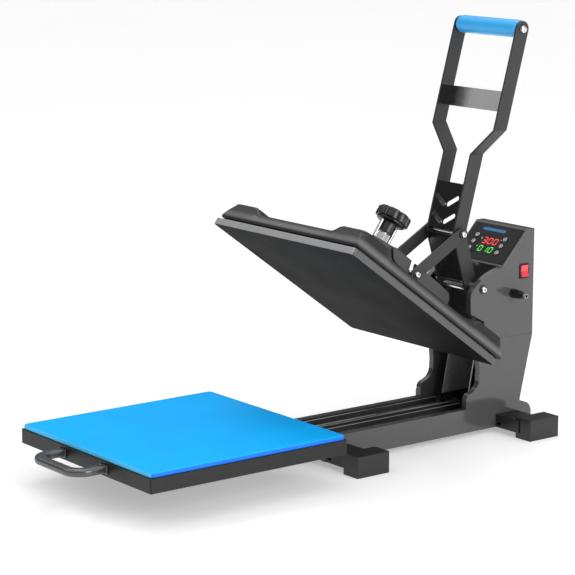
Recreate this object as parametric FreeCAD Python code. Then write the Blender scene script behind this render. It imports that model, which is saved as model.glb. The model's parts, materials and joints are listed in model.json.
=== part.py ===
"""Heat press: clamshell press with a pull-out lower platen, 380 x 380 mm working area.

Frame of the drawing: X to the operator's right, Y from the front to the back, Z up from the table.
While drawing, Y = 0 is the front edge of the lower platen with its drawer pulled out.  At the end
everything is moved by -ORIGIN_Y, so the exported origin is the bottom centre of the whole press.
The press is drawn as it stands open: drawer out, handle up, upper platen tilted back.
The arm, platen and knob are drawn level, as when the press is shut, and then swung open.
"""
import FreeCAD, Part
import math
import os

# ---------------------------------------------------------------- driving dimensions, mm and degrees
PLATEN = 380.0              # side of both square platens
TRAVEL = 340.4              # drawer stroke, from pulled out to under the upper platen
OPEN_ANGLE = 36.1           # tilt of the upper platen when the press stands open

PLATEN_BOTTOM = 59.0        # underside of the lower platen above the table
PLATEN_THICK = 24.0
PAD_THICK = 8.0
PAD_INSET = 2.0
HANDLE_REACH = 62.0         # drawer handle, in front of the platen
HANDLE_WIDTH = 140.0

FRAME_HALF = 67.0           # outer faces of the two side frames
FLANGE = 11.0               # folded edge of a side frame, inwards
SHEET = 2.5
BEAM_BOTTOM = 9.5
BEAM_TOP = 51.5
BEAM_FRONT = 432.0
REAR = 901.0                # rear face of the whole press

BAR_HALF = 126.0            # crossbars reach this far into the feet
BAR_DEPTH = 50.0
BAR_BOTTOM = 10.0
BAR_TOP = 33.0
FOOT_WIDE = 38.0
FOOT_LONG = 68.0
FOOT_TALL = 37.0
FOOT_OUT = 154.0            # outer face of a foot
FRONT_FOOT = 431.0
REAR_FOOT = 818.0

HANDLE_PIVOT = (780.5, 262.0)   # (Y, Z) of the handle's pivot on the side frames
KNEE = (752.0, 359.0)           # (Y, Z) of the shaft where the links meet the handle
LINK_PIVOT = (648.0, 300.0)     # (Y, Z) of the shaft where the links meet the arm, press open
ARM_PIVOT = (813.9, 165.0)      # (Y, Z) of the arm's pivot low in the column

LEAN = 15.5                 # handle bars lean back from the vertical
BAR_WIDE = 28.0             # handle flat bar, seen from the side
BAR_THICK = 4.0
LOWER_BAR = 36.5            # outer face of a handle bar below its bends
UPPER_BAR = 81.0            # outer face of a handle bar above its bends
BEND_LOW = 495.0            # Z where a bar leaves the lower line
BEND_HIGH = 540.0           # Z where a bar reaches the upper line
GRIP_Z = 711.0
GRIP_RADIUS = 15.5

LINK_INNER = 40.0           # inner face of a link
LINK_THICK = 4.5
LINK_WIDE = 22.0
ARM_INNER = 31.0            # inner face of an arm plate
ARM_THICK = 5.0

SHAFT = 6.0                 # radius of the two frame shafts
KNEE_RADIUS = 5.0           # radius of the knee shaft and of the link shaft
FIT = 0.08                  # radial play of a running fit
SIDE_PLAY = 0.5             # play along X beside a plate that turns
NOTCH_PLAY = 0.6            # play of the link shaft in the notch of an arm plate
WASHER = 8.0                # radius of the washers under the bolt heads
BOLT_HEAD = 5.6             # radius of the domed bolt heads
GRIP_HEAD = 6.4             # and of the two at the grip
HEAD_TALL = 4.0
HEAD_DOME = 2.4             # rounding of a head's outer edge

HEAT_THICK = 12.5
GAP = 4.0                   # shadow gap between the heat plate and its cover
COVER_VALLEY = 38.0         # cover height above the heat face, in the cross-shaped valley
COVER_LOBE = 50.0           # and on the four corner lobes
SHUT_CLEAR = 0.5            # heat face above the silicone pad when shut
KNOB_RADIUS = 30.7
KNOB_HUB = 121.0            # heights of the knob above the heat face: foot of its hub,
KNOB_RIM = 144.0            # underside of its rim
KNOB_TOP = 161.5            # and its top
SCREW = 6.0                 # radius of the pressure screw
SCREW_ALONG = 190.0         # the screw stands at the middle of the upper platen
POST_OUT = 18.0             # guide posts, in front of the screw and behind it
POST = 3.0                  # radius of a guide post
BRIDGE_WEB = 88.0           # underside of the bridge's web above the heat face

SLIDE_CENTRE = 31.5         # X of the middle of each telescopic slide
SLIDE_HALF = 23.0
SLIDE_FRONT = 440.0
SLIDE_LONG = 340.0

PANEL_LOW = (826.0, 296.0)      # lower front edge of the slanted control panel
PANEL_HIGH = (884.0, 358.0)     # its upper edge
BOX_BOTTOM = 169.0
BOX_WALL = 2.0

ORIGIN_Y = (REAR - HANDLE_REACH) / 2.0

# heat face of the upper platen when shut, and the front edge of that platen
HEAT_FACE = PLATEN_BOTTOM + PLATEN_THICK + PAD_THICK + SHUT_CLEAR
SHUT_FRONT = TRAVEL

os.makedirs("parts", exist_ok=True)
X_AXIS = FreeCAD.Vector(1, 0, 0)


# ---------------------------------------------------------------- small helpers
def vec(x, y, z):
    return FreeCAD.Vector(x, y, z)


def block(x0, x1, y0, y1, z0, z1):
    return Part.makeBox(x1 - x0, y1 - y0, z1 - z0, vec(x0, y0, z0))


def rod_x(x0, x1, centre, radius):
    """A round bar along X through centre = (Y, Z)."""
    return Part.makeCylinder(radius, x1 - x0, vec(x0, centre[0], centre[1]), X_AXIS)


def rod_z(z0, z1, x, y, radius):
    return Part.makeCylinder(radius, z1 - z0, vec(x, y, z0))


def hexagon_x(x0, x1, centre, across):
    """A hexagonal prism along X, given across its flats."""
    radius = across / math.sqrt(3.0)
    points = []
    for i in range(7):
        turn = math.radians(60.0 * i)
        points.append(vec(x0, centre[0] + radius * math.cos(turn), centre[1] + radius * math.sin(turn)))
    return Part.Face(Part.makePolygon(points)).extrude(vec(x1 - x0, 0, 0))


def outline_yz(start, moves, x):
    """A closed wire in the plane X = x.  A move is (point) or (point on the arc, end point)."""
    edges = []
    here = vec(x, start[0], start[1])
    for move in moves:
        if isinstance(move[0], tuple):
            middle = vec(x, move[0][0], move[0][1])
            there = vec(x, move[1][0], move[1][1])
            edges.append(Part.Arc(here, middle, there).toShape())
        else:
            there = vec(x, move[0], move[1])
            edges.append(Part.LineSegment(here, there).toShape())
        here = there
    return Part.Wire(edges)


def prism_yz(start, moves, x0, x1):
    return Part.Face(outline_yz(start, moves, x0)).extrude(vec(x1 - x0, 0, 0))


def strip(points, width):
    """The outline of a flat bar of the given width that follows a line of points, mitred."""
    left = []
    right = []
    last = len(points) - 1
    for i, (u, w) in enumerate(points):
        before = points[max(i - 1, 0)]
        after = points[min(i + 1, last)]
        a = (u - before[0], w - before[1]) if i > 0 else (after[0] - u, after[1] - w)
        b = (after[0] - u, after[1] - w) if i < last else a
        a_long = math.hypot(*a)
        b_long = math.hypot(*b)
        normal = (-a[1] / a_long - b[1] / b_long, a[0] / a_long + b[0] / b_long)
        n_long = math.hypot(*normal)
        normal = (normal[0] / n_long, normal[1] / n_long)
        stretch = width / 2.0 / (normal[0] * -a[1] / a_long + normal[1] * a[0] / a_long)
        left.append((u + normal[0] * stretch, w + normal[1] * stretch))
        right.append((u - normal[0] * stretch, w - normal[1] * stretch))
    return left + right[::-1] + [left[0]]


def bar_yz(points, width, x0, x1):
    """A flat bar cut from plate, in the YZ plane, with round ends."""
    wire = Part.makePolygon([vec(x0, u, w) for u, w in strip(points, width)])
    solid = Part.Face(wire).extrude(vec(x1 - x0, 0, 0))
    for end in (points[0], points[-1]):
        solid = solid.fuse(rod_x(x0, x1, end, width / 2.0))
    return solid.removeSplitter()


def rounded_slab(x0, x1, y0, y1, z0, z1, radius):
    """A plate with its four upright corners rounded."""
    solid = block(x0, x1, y0, y1, z0, z1)
    upright = [e for e in solid.Edges if abs(e.tangentAt(e.FirstParameter).z) > 0.99]
    return solid.makeFillet(radius, upright)


def mirrored(solid):
    return solid.mirror(vec(0, 0, 0), X_AXIS)


def swing_open(solid):
    """From the shut, level position to the open one, about the arm's pivot."""
    turned = solid.copy()
    turned.rotate(vec(0, *ARM_PIVOT), X_AXIS, -OPEN_ANGLE)
    return turned


def level(along, height):
    """(Y, Z) of a point on the level upper platen: distance behind its front edge, and above the
    heat face."""
    return SHUT_FRONT + along, HEAT_FACE + height


# ---------------------------------------------------------------- base and column
def side_outline():
    """Beam and column are one pressed plate, with a rounded ear on each side of the column's foot
    and a notch at the top rear for the control box."""
    start = (BEAM_FRONT, BEAM_BOTTOM)
    moves = [
        (REAR, BEAM_BOTTOM), (REAR, 26.0), ((895.0, 40.0), (881.0, 46.0)), ((875.0, 48.0), (873.5, 54.0)),
        (897.0, 152.0), (REAR, BOX_BOTTOM), (846.0, BOX_BOTTOM), ((831.9, 174.9), (826.0, 189.0)),
        PANEL_LOW, ((787.0, 283.5), (759.5, 265.0)), ((753.2, 255.5), (752.0, 245.0)), (753.4, 220.5),
        (785.5, 203.5), (774.0, 131.0), (775.8, 117.0), (775.0, 104.5), ((772.4, 91.5), (765.5, 83.5)),
        (758.0, 79.5), ((749.2, 75.5), (745.6, 67.0)), (745.6, BEAM_TOP), (BEAM_FRONT, BEAM_TOP), start]
    return start, moves


def side_frame():
    start, moves = side_outline()
    plate = prism_yz(start, moves, FRAME_HALF - FLANGE, FRAME_HALF)
    wire = outline_yz(start, moves, FRAME_HALF - FLANGE)
    inner = Part.Face(wire).makeOffset2D(-SHEET, 0, False, False, True)
    hollow = inner.extrude(vec(FLANGE - SHEET, 0, 0))
    plate = plate.cut(hollow)
    for centre in (HANDLE_PIVOT, ARM_PIVOT):
        plate = plate.cut(rod_x(0, 2 * FRAME_HALF, centre, SHAFT))
    for y0 in (FRONT_FOOT + 2.0, REAR_FOOT - 2.0):
        plate = plate.cut(block(0, 2 * FRAME_HALF, y0, y0 + BAR_DEPTH, BAR_BOTTOM, BAR_TOP))
    return plate


def crossbar(y0):
    """Square tube under the beams, open at both ends inside the feet, slotted in its front wall."""
    bar = block(-BAR_HALF, BAR_HALF, y0, y0 + BAR_DEPTH, BAR_BOTTOM, BAR_TOP)
    bore = block(-BAR_HALF, BAR_HALF, y0 + SHEET, y0 + BAR_DEPTH - SHEET, BAR_BOTTOM + SHEET, BAR_TOP - SHEET)
    bar = bar.cut(bore)
    for x in (-76.0, 76.0):
        bar = bar.cut(block(x - 5.0, x + 5.0, y0 - 1.0, y0 + SHEET + 1.0, 15.0, 19.0))
    return bar


def foot(y0, bar_y0):
    """A moulded block pushed over a crossbar's end."""
    x0 = FOOT_OUT - FOOT_WIDE
    solid = block(x0, FOOT_OUT, y0, y0 + FOOT_LONG, 0.0, FOOT_TALL)
    solid = solid.makeFillet(1.5, [e for e in solid.Edges if e.BoundBox.ZMax > 1.0])
    socket = block(x0 - 1.0, BAR_HALF, bar_y0, bar_y0 + BAR_DEPTH, BAR_BOTTOM, BAR_TOP)
    return solid.cut(socket)


def base_tray():
    """Sheet on the crossbars that carries the slides, with a window to save weight."""
    half = FRAME_HALF - FLANGE - 0.5
    tray = block(-half, half, FRONT_FOOT + 5.0, REAR - 25.0, BAR_TOP, BAR_TOP + 2.0)
    return tray.cut(block(-6.0, 6.0, 500.0, 760.0, BAR_TOP - 1.0, BAR_TOP + 3.0))


def slide_section(half, low, high, wall, lip):
    """An upright channel: floor, two walls and two lips turned in."""
    section = block(-half, half, 0.0, SLIDE_LONG, low, low + wall)
    for side in (-1, 1):
        x = sorted((side * half, side * (half - wall)))
        section = section.fuse(block(x[0], x[1], 0.0, SLIDE_LONG, low, high))
        x = sorted((side * half, side * (half - lip)))
        section = section.fuse(block(x[0], x[1], 0.0, SLIDE_LONG, high - wall, high))
    return section.removeSplitter()


SLIDE_FLOOR = BAR_TOP + 2.0


def slide_outer():
    rail = slide_section(SLIDE_HALF, SLIDE_FLOOR, SLIDE_FLOOR + 12.0, 1.5, 3.0)
    return rail.translated(vec(SLIDE_CENTRE, SLIDE_FRONT, 0.0))


def slide_middle():
    rail = slide_section(19.0, SLIDE_FLOOR + 2.0, SLIDE_FLOOR + 13.5, 1.5, 4.0)
    return rail.translated(vec(SLIDE_CENTRE, SLIDE_FRONT - TRAVEL / 2.0, 0.0))


def slide_inner():
    """The innermost member: a channel upside down, so its flat top meets the carriage."""
    half = 12.5
    top = SLIDE_FLOOR + 18.0
    rail = block(-half, half, 0.0, SLIDE_LONG, top - 1.5, top)
    for side in (-1, 1):
        x = sorted((side * half, side * (half - 1.5)))
        rail = rail.fuse(block(x[0], x[1], 0.0, SLIDE_LONG, SLIDE_FLOOR + 4.0, top))
    return rail.removeSplitter().translated(vec(SLIDE_CENTRE, SLIDE_FRONT - TRAVEL, 0.0))


def stop_bracket():
    """Folded stop behind the slides: an upright with two triangular cut-outs, and a foot."""
    y0 = SLIDE_FRONT + SLIDE_LONG + 8.0
    plate = block(-50.0, 50.0, y0, y0 + 3.0, SLIDE_FLOOR, BEAM_TOP)
    plate = plate.fuse(block(-50.0, 50.0, y0, y0 + 26.0, SLIDE_FLOOR, SLIDE_FLOOR + 3.0))
    for x in (-28.0, 28.0):
        corners = [(x - 12.0, BEAM_TOP - 2.0), (x + 12.0, BEAM_TOP - 2.0), (x, SLIDE_FLOOR + 5.0)]
        points = [vec(u, y0 - 1.0, w) for u, w in corners + corners[:1]]
        plate = plate.cut(Part.Face(Part.makePolygon(points)).extrude(vec(0, 5.0, 0)))
    return plate.removeSplitter()


def column_channel():
    """Channel that stiffens the column below the arm's pivot: a web welded between the side frames at
    the rear, and two flanges that reach forwards over the drawer's carriage."""
    half = FRAME_HALF - SHEET
    web = block(-half, half, 865.5, 868.0, SLIDE_FLOOR, 143.0)
    start = (777.5, 58.0)
    flange = prism_yz(start, [(868.0, 58.0), (868.0, 143.0), (794.5, 143.0), start], 32.5, 35.0)
    return web.fuse(flange).fuse(mirrored(flange)).removeSplitter()


# ---------------------------------------------------------------- control box
def panel_frame():
    """Unit vectors up the slanted panel and out of it, in (Y, Z)."""
    dy = PANEL_HIGH[0] - PANEL_LOW[0]
    dz = PANEL_HIGH[1] - PANEL_LOW[1]
    long = math.hypot(dy, dz)
    return (dy / long, dz / long), (-dz / long, dy / long), long


def on_panel(solid):
    """Moves a solid drawn with X across, Y up the panel and Z out of it onto the panel."""
    (uy, uz), (ny, nz) = panel_frame()[:2]
    placed = solid.copy()
    matrix = FreeCAD.Matrix(1, 0, 0, 0, 0, uy, ny, PANEL_LOW[0], 0, uz, nz, PANEL_LOW[1], 0, 0, 0, 1)
    placed.transformShape(matrix)
    return placed


BOX_OUTLINE = [
    (REAR - BOX_WALL, BOX_BOTTOM), (REAR - BOX_WALL, PANEL_HIGH[1]), PANEL_HIGH, PANEL_LOW, (826.0, 189.0),
    ((831.9, 174.9), (846.0, BOX_BOTTOM))]
PANEL_RIM = 4.5             # width of the box's rim round the fascia
FASCIA = 3.0
WINDOW = (-28.0, 27.0, 18.0, 58.0)
BUTTON_X = 36.0
BUTTON_MIDDLE = -2.0        # the button block sits a little to the left
BUTTON_ROWS = (25.0, 39.5, 54.0)
BUTTON_RADIUS = 4.3
SWITCH = (877.0, 284.0)
GLAND = (851.0, 247.0)
GLAND_THREAD = 6.0
GLAND_DOME = 6.8            # radius of the gland's ribbed dome nut


def control_box():
    """Folded housing, open at the rear and under the slanted fascia."""
    start = (846.0, BOX_BOTTOM)
    outer = prism_yz(start, BOX_OUTLINE, -FRAME_HALF, FRAME_HALF)
    wire = outline_yz(start, BOX_OUTLINE, -FRAME_HALF + BOX_WALL)
    inner = Part.Face(wire).makeOffset2D(-BOX_WALL, 0, False, False, True)
    room = inner.extrude(vec(2 * FRAME_HALF - 2 * BOX_WALL, 0, 0))
    rear = block(-FRAME_HALF + BOX_WALL, FRAME_HALF - BOX_WALL, REAR - 2 * BOX_WALL - 1.0, REAR,
                 BOX_BOTTOM + BOX_WALL, PANEL_HIGH[1] - BOX_WALL)
    long = panel_frame()[2]
    bay = on_panel(block(-FRAME_HALF + PANEL_RIM, FRAME_HALF - PANEL_RIM, PANEL_RIM, long - PANEL_RIM,
                         -8.0, 2.0))
    box = outer.cut(room).cut(rear).cut(bay)
    box = box.cut(block(FRAME_HALF - 5.0, FRAME_HALF + 1.0, SWITCH[0] - 9.4, SWITCH[0] + 9.4,
                        SWITCH[1] - 12.2, SWITCH[1] + 12.2))
    return box.cut(rod_x(FRAME_HALF - 5.0, FRAME_HALF + 1.0, GLAND, GLAND_THREAD))


def rear_cover():
    """Rear plate of the control box with a block of cooling slots."""
    cover = block(-FRAME_HALF, FRAME_HALF, REAR - BOX_WALL, REAR, BOX_BOTTOM, PANEL_HIGH[1])
    for i in range(7):
        z = BOX_BOTTOM + 45.0 + 11.0 * i
        cover = cover.cut(block(-30.0, 30.0, REAR - 3.0, REAR + 1.0, z, z + 4.0))
    return cover


def fascia():
    long = panel_frame()[2]
    half = FRAME_HALF - PANEL_RIM
    plate = rounded_slab(-half, half, PANEL_RIM, long - PANEL_RIM, -2.0, FASCIA - 2.0, 2.0)
    plate = plate.cut(block(WINDOW[0], WINDOW[1], WINDOW[2], WINDOW[3], -3.0, 3.0))
    for x, y in button_places():
        plate = plate.cut(rod_z(-3.0, 3.0, x, y, BUTTON_RADIUS + 0.3))
    return on_panel(plate)


def button_places():
    return [(BUTTON_MIDDLE + side * BUTTON_X, row) for side in (-1, 1) for row in BUTTON_ROWS]


def display_window():
    return on_panel(block(WINDOW[0], WINDOW[1], WINDOW[2], WINDOW[3], -2.0, 0.6))


def button(x, y):
    """A cap standing 1.4 mm out of the fascia, with a retaining collar behind it."""
    cap = rod_z(-3.4, FASCIA - 0.6, x, y, BUTTON_RADIUS)
    return on_panel(cap.fuse(rod_z(-3.4, -2.9, x, y, BUTTON_RADIUS + 1.4)).removeSplitter())


def controller_board():
    """Circuit board behind the fascia on four pillars, with its display block, relay, transformer and
    terminal row."""
    long = panel_frame()[2]
    board = block(-52.0, 52.0, 10.0, long - 8.0, -14.0, -12.4)
    board = board.fuse(block(-27.0, 26.0, 20.0, 56.0, -12.4, -2.6))
    board = board.fuse(block(20.0, 48.0, 40.0, 60.0, -30.0, -14.0))
    board = board.fuse(block(-46.0, -16.0, 36.0, 62.0, -34.0, -14.0))
    board = board.fuse(block(-40.0, 40.0, 14.0, 22.0, -24.0, -14.0))
    for x in (-48.0, 48.0):
        for y in (14.0, long - 12.0):
            board = board.fuse(rod_z(-12.4, -2.0, x, y, 3.0))
    return on_panel(board.removeSplitter())


def switch_bezel():
    y, z = SWITCH
    rim = rounded_slab(y - 10.5, y + 10.5, z - 13.2, z + 13.2, 0.0, 2.0, 2.0)
    rim = rim.fuse(block(y - 9.4, y + 9.4, z - 12.2, z + 12.2, -16.0, 0.0))
    rim = rim.cut(block(y - 8.5, y + 8.5, z - 11.4, z + 11.4, -12.0, 3.0))
    turned = FreeCAD.Matrix(0, 0, 1, FRAME_HALF, 1, 0, 0, 0, 0, 1, 0, 0, 0, 0, 0, 1)
    rim.transformShape(turned)
    return rim


def switch_rocker():
    """A shallow V-shaped rocker that tips about a pin along Y, 2 mm inside the wall."""
    y, z = SWITCH
    x = FRAME_HALF
    profile = [(x - 8.0, z - 2.5), (x + 1.2, z - 9.8), (x + 4.6, z - 10.2), (x + 2.0, z), (x + 3.0, z + 10.6),
               (x - 0.4, z + 10.2), (x - 8.0, z + 2.5)]
    points = [vec(u, y - 8.1, w) for u, w in profile + profile[:1]]
    return Part.Face(Part.makePolygon(points)).extrude(vec(0, 16.2, 0))


def cable_gland():
    """Strain relief on the right wall: inner nut, flange, ribbed dome nut and a metal end sleeve."""
    x = FRAME_HALF
    gland = rod_x(x - BOX_WALL - 6.0, x, GLAND, GLAND_THREAD)
    gland = gland.fuse(hexagon_x(x - BOX_WALL - 5.0, x - BOX_WALL, GLAND, 17.0))
    gland = gland.fuse(hexagon_x(x, x + 7.0, GLAND, 14.5))
    gland = gland.fuse(rod_x(x + 7.0, x + 22.0, GLAND, GLAND_DOME))
    for i in range(12):
        turn = math.radians(30.0 * i)
        centre = (GLAND[0] + GLAND_DOME * math.cos(turn), GLAND[1] + GLAND_DOME * math.sin(turn))
        gland = gland.fuse(rod_x(x + 8.0, x + 20.0, centre, 0.9))
    cone = Part.makeCone(6.5, 5.0, 8.0, vec(x + 22.0, *GLAND), X_AXIS)
    gland = gland.fuse(cone).fuse(rod_x(x + 30.0, x + 36.0, GLAND, 4.0))
    return gland.cut(rod_x(x - 9.0, x + 37.0, GLAND, 2.6)).removeSplitter()


def button_head(x, centre, radius):
    """A domed bolt head that stands out from X = x, with a hexagon socket."""
    head = rod_x(x, x + HEAD_TALL, centre, radius)
    head = head.makeFillet(HEAD_DOME, [e for e in head.Edges if e.BoundBox.XMin > x + HEAD_TALL - 0.1])
    return head.cut(hexagon_x(x + HEAD_TALL - 2.2, x + HEAD_TALL + 1.0, centre, 4.0))


def headed_shaft(centre, half, radius, washer, head=BOLT_HEAD, sleeves=()):
    """A shaft with a washer and a domed bolt head outside each face at X = half, and with sleeves
    given as (from X, to X, radius)."""
    shaft = rod_x(-half, half, centre, radius)
    cap = button_head(half + washer, centre, head)
    shaft = shaft.fuse(cap).fuse(mirrored(cap))
    for side in (-1, 1):
        ends = sorted((side * half, side * (half + washer)))
        shaft = shaft.fuse(rod_x(ends[0], ends[1], centre, WASHER))
    for x0, x1, sleeve in sleeves:
        shaft = shaft.fuse(rod_x(x0, x1, centre, sleeve))
    return shaft.removeSplitter()


def frame_shaft(centre, inner, outer):
    """A shaft across the side frames, with sleeves that keep a pair of plates apart and centred.
    The plates lie between X = inner and X = outer on each side."""
    inner -= SIDE_PLAY
    outer += SIDE_PLAY
    wall = FRAME_HALF - SHEET
    sleeves = [(-inner, inner, SHAFT + 3.0), (outer, wall, SHAFT + 3.0), (-wall, -outer, SHAFT + 3.0)]
    return headed_shaft(centre, FRAME_HALF, SHAFT, 1.5, sleeves=sleeves)


def handle_pivot_shaft():
    return frame_shaft(HANDLE_PIVOT, LOWER_BAR - BAR_THICK, LOWER_BAR)


def arm_pivot_shaft():
    return frame_shaft(ARM_PIVOT, ARM_INNER, ARM_INNER + ARM_THICK)


# ---------------------------------------------------------------- drawer
def lower_platen():
    """Tray-shaped platen: a top plate with a deep rim and two ribs over the slides."""
    half = PLATEN / 2.0
    top = PLATEN_BOTTOM + PLATEN_THICK
    tray = rounded_slab(-half, half, 0.0, PLATEN, PLATEN_BOTTOM, top, 3.0)
    tray = tray.cut(block(-half + 4.0, half - 4.0, 4.0, PLATEN - 4.0, PLATEN_BOTTOM - 1.0, top - 6.0))
    for side in (-1, 1):
        x = side * SLIDE_CENTRE
        tray = tray.fuse(block(x - 10.0, x + 10.0, 3.0, PLATEN - 3.0, PLATEN_BOTTOM, top - 5.0))
    return tray.removeSplitter()


def silicone_pad():
    half = PLATEN / 2.0 - PAD_INSET
    top = PLATEN_BOTTOM + PLATEN_THICK
    return rounded_slab(-half, half, PAD_INSET, PLATEN - PAD_INSET, top, top + PAD_THICK, 7.0)


def drawer_handle():
    """Flat D-shaped loop bolted to the platen's front edge."""
    half = HANDLE_WIDTH / 2.0
    low = PLATEN_BOTTOM + 5.5
    high = low + 12.5
    loop = block(-half, half, -HANDLE_REACH, 0.0, low, high)
    hole = block(-half + 18.0, half - 18.0, -HANDLE_REACH + 19.0, 1.0, low - 1.0, high + 1.0)
    corner = [e for e in loop.Edges if e.BoundBox.ZLength > 5.0 and e.BoundBox.YMax < -1.0]
    loop = loop.makeFillet(34.0, corner)
    corner = [e for e in hole.Edges if e.BoundBox.ZLength > 5.0 and e.BoundBox.YMax < 0.0]
    loop = loop.cut(hole.makeFillet(17.0, corner))
    rim = [e for e in loop.Edges if e.BoundBox.ZLength < 0.1 and e.BoundBox.YMin < -0.5]
    loop = loop.makeFillet(5.0, rim)
    for side in (-1, 1):
        x = side * (half - 9.0)
        loop = loop.fuse(rounded_slab(x - 11.0, x + 11.0, -2.5, 0.0, low - 0.8, high + 0.8, 1.0))
    return loop.removeSplitter()


def carriage():
    """Plate on the inner slide members, with ribs that meet the platen's ribs."""
    top = SLIDE_FLOOR + 18.0
    plate = block(-54.0, 54.0, 20.0, SLIDE_FRONT + SLIDE_LONG - TRAVEL, top, top + 3.0)
    for side in (-1, 1):
        x = side * SLIDE_CENTRE
        plate = plate.fuse(block(x - 8.0, x + 8.0, 24.0, PLATEN - 10.0, top + 3.0, PLATEN_BOTTOM))
    return plate.removeSplitter()


# ---------------------------------------------------------------- handle
def lean_point(z):
    """Y of the handle bars' middle line at height z."""
    return KNEE[0] + (z - KNEE[1]) * math.tan(math.radians(LEAN))


GRIP = (lean_point(GRIP_Z), GRIP_Z)


def handle_bar():
    """One dog-legged flat bar: pivot eye, knee, long leaning bar bent outwards to the grip."""
    side = bar_yz([HANDLE_PIVOT, KNEE, GRIP], BAR_WIDE, 0.0, UPPER_BAR + 5.0)
    low = LOWER_BAR - BAR_THICK / 2.0
    high = UPPER_BAR - BAR_THICK / 2.0
    line = [(low, 200.0), (low, BEND_LOW), (high, BEND_HIGH), (high, GRIP_Z + 40.0)]
    wire = Part.makePolygon([vec(u, 600.0, w) for u, w in strip(line, BAR_THICK)])
    bar = side.common(Part.Face(wire).extrude(vec(0, 400.0, 0)))
    bar = bar.cut(rod_x(0.0, 90.0, HANDLE_PIVOT, SHAFT + FIT))
    bar = bar.cut(rod_x(0.0, 90.0, KNEE, KNEE_RADIUS))
    return bar.cut(rod_x(0.0, 90.0, GRIP, 4.0))


def front_plate(low, high, half, lean):
    """A plate between the handle bars, flush with their front edges, between two heights on a line
    that leans back from the vertical through the knee."""
    start = KNEE
    turn = math.radians(lean)
    ahead = -BAR_WIDE / 2.0
    back = ahead + SHEET
    points = []
    for z, out in ((low, ahead), (high, ahead), (high, back), (low, back), (low, ahead)):
        along = (z - start[1]) / math.cos(turn)
        y = start[0] + along * math.sin(turn) + out * math.cos(turn)
        points.append(vec(-half, y, start[1] + along * math.cos(turn) - out * math.sin(turn)))
    return Part.Face(Part.makePolygon(points)).extrude(vec(2 * half, 0, 0))


def chevron_slot(side, z):
    """One leg of a V-shaped vent: a round-ended slot that rises away from the middle."""
    inner = (side * 5.0, z)
    outer = (side * 26.0, z + 12.5)
    outline = strip([inner, outer], 8.0)
    solid = Part.Face(Part.makePolygon([vec(u, 700.0, w) for u, w in outline])).extrude(vec(0, 120.0, 0))
    for u, w in (inner, outer):
        solid = solid.fuse(Part.makeCylinder(4.0, 120.0, vec(u, 700.0, w), vec(0, 1, 0)))
    return solid


def slotted_plate():
    plate = front_plate(362.0, 441.0, LOWER_BAR - BAR_THICK, LEAN)
    for z in (377.0, 407.0):
        for side in (-1, 1):
            plate = plate.cut(chevron_slot(side, z))
    return plate


def cross_plate():
    return front_plate(569.0, 603.0, UPPER_BAR - BAR_THICK, LEAN)


def leg_plate():
    """Plate between the two lower legs of the handle."""
    lean = math.degrees(math.atan2(HANDLE_PIVOT[0] - KNEE[0], KNEE[1] - HANDLE_PIVOT[1]))
    return front_plate(277.0, 361.0, LOWER_BAR - BAR_THICK, -lean)


def knee_shaft():
    """Shaft fixed in the handle bars at the knee; the upper ends of the links turn on it."""
    inner = LOWER_BAR - BAR_THICK
    gap = LINK_INNER - SIDE_PLAY
    sleeves = [(-inner, inner, 7.0), (LOWER_BAR, gap, 8.0), (-gap, -LOWER_BAR, 8.0)]
    return headed_shaft(KNEE, LINK_INNER + LINK_THICK + SIDE_PLAY, KNEE_RADIUS, 1.2, sleeves=sleeves)


def grip_rod():
    return headed_shaft(GRIP, UPPER_BAR, 4.0, 1.2, GRIP_HEAD)


def grip_sleeve():
    half = UPPER_BAR - BAR_THICK - 0.5
    sleeve = rod_x(-half, half, GRIP, GRIP_RADIUS)
    sleeve = sleeve.makeFillet(4.0, [e for e in sleeve.Edges if e.BoundBox.XLength < 0.1])
    return sleeve.cut(rod_x(-half - 1.0, half + 1.0, GRIP, 4.0))


# ---------------------------------------------------------------- links, arm and upper platen
def link():
    bar = bar_yz([KNEE, LINK_PIVOT], LINK_WIDE, LINK_INNER, LINK_INNER + LINK_THICK)
    bar = bar.cut(rod_x(0.0, 90.0, KNEE, KNEE_RADIUS + FIT))
    return bar.cut(rod_x(0.0, 90.0, LINK_PIVOT, KNEE_RADIUS))


def shut_link_pivot():
    """The link shaft's place when the arm is level."""
    turn = math.radians(OPEN_ANGLE)
    dy = LINK_PIVOT[0] - ARM_PIVOT[0]
    dz = LINK_PIVOT[1] - ARM_PIVOT[1]
    y = ARM_PIVOT[0] + dy * math.cos(turn) - dz * math.sin(turn)
    return y, ARM_PIVOT[1] + dy * math.sin(turn) + dz * math.cos(turn)


def arm_plate():
    """Long plate from the bridge back over the platen's rear edge to the pivot eye, notched from the
    top for the link shaft."""
    eye = 15.0
    tail = (ARM_PIVOT[0], ARM_PIVOT[1] - eye)
    crown = (ARM_PIVOT[0] - eye * math.sqrt(0.5), ARM_PIVOT[1] + eye * math.sqrt(0.5))
    start = level(204.0, 85.0)
    moves = [level(195.0, 96.0), (level(196.0, 100.5), level(202.0, 102.0)), level(241.0, 101.5),
             level(323.0, 100.0), level(344.0, 98.2), (level(355.0, 94.0), level(359.5, 84.0)),
             level(363.0, 76.0), level(450.0, 76.0), crown, ((ARM_PIVOT[0] + eye, ARM_PIVOT[1]), tail),
             level(440.0, 56.0), level(385.0, 56.5), level(330.0, 68.0), level(250.0, 71.0),
             level(232.0, 80.0), level(212.0, 81.0), start]
    plate = prism_yz(start, moves, ARM_INNER, ARM_INNER + ARM_THICK)
    plate = plate.cut(rod_x(0.0, 90.0, ARM_PIVOT, SHAFT + FIT))
    notch = [shut_link_pivot(), level(251.2, 89.7), level(246.0, 112.0)]
    return swing_open(plate.cut(bar_yz(notch, 2.0 * (KNEE_RADIUS + NOTCH_PLAY), 0.0, 90.0)))


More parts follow.
